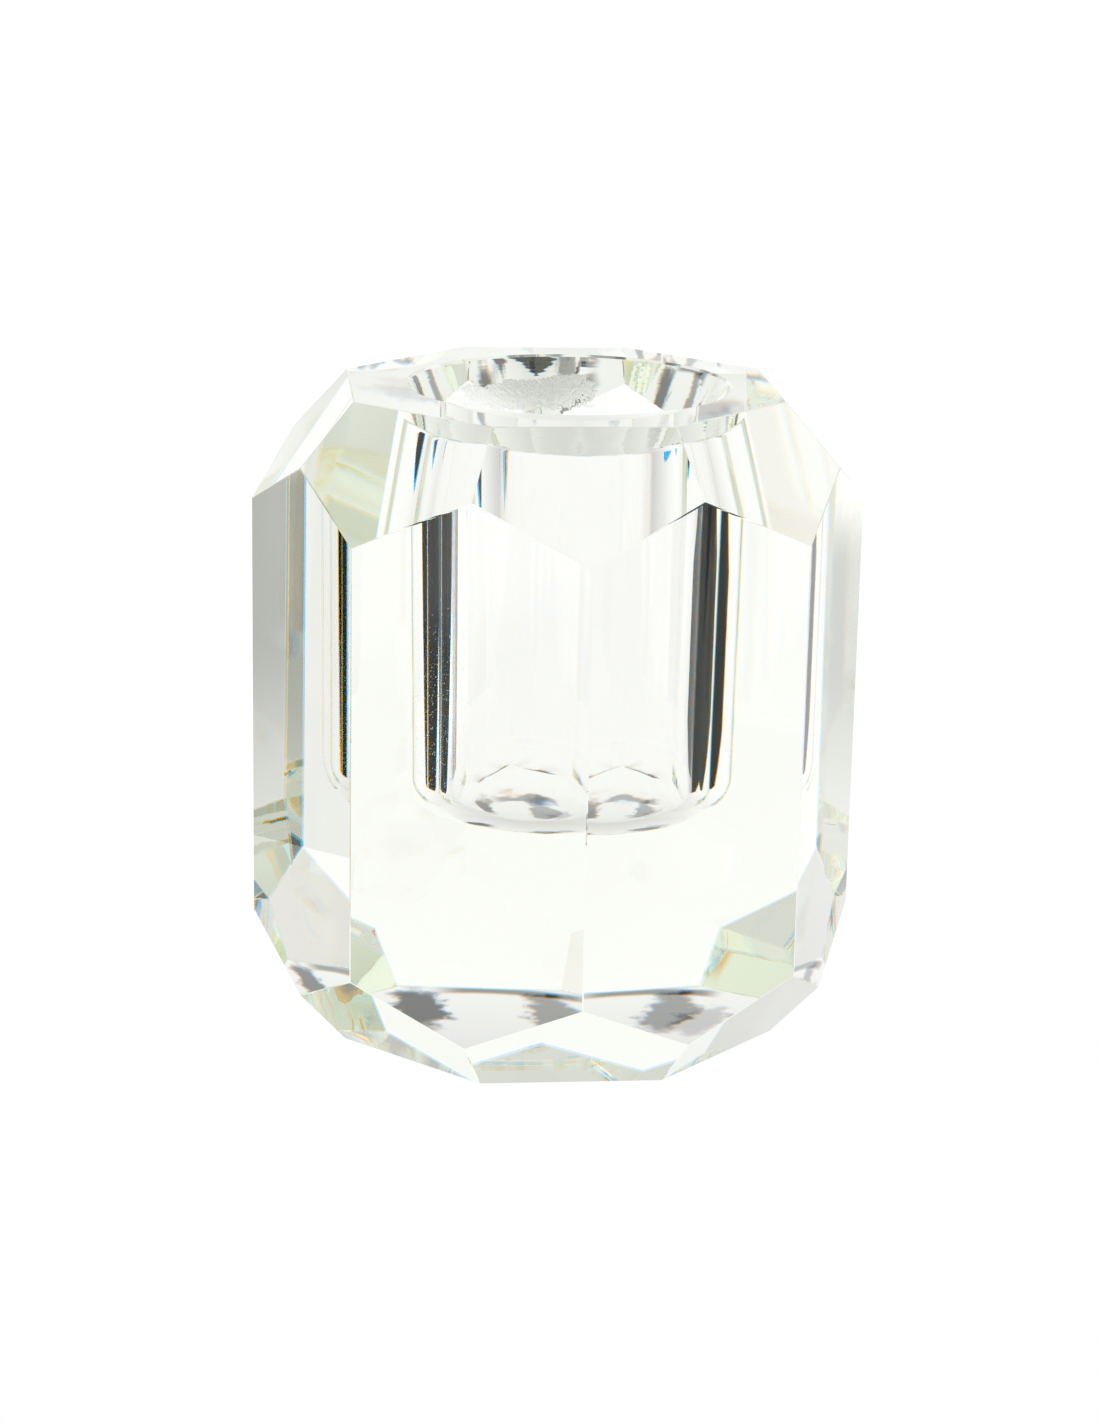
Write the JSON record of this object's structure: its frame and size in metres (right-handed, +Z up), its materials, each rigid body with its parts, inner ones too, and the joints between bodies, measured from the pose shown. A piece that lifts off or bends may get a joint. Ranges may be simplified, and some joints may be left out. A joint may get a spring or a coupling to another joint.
{
  "type": "glass candlestick",
  "caption": "Clear cut-glass candlestick: a faceted octagonal block with sloping facets round its table and foot, and a round, flared socket for a taper candle.",
  "frame": {"origin": "centre of the flat foot the block stands on", "axes": "+Z up along the block, out of the candle socket; flats of the octagon face +X, -X, +Y and -Y"},
  "size_m": [0.05, 0.05, 0.0575],
  "materials": {
    "clear_crystal": "polished clear crystal, faintly green in thick sections"
  },
  "bodies": {
    "root": {"glass_block": "clear_crystal"}
  },
  "joints": []
}
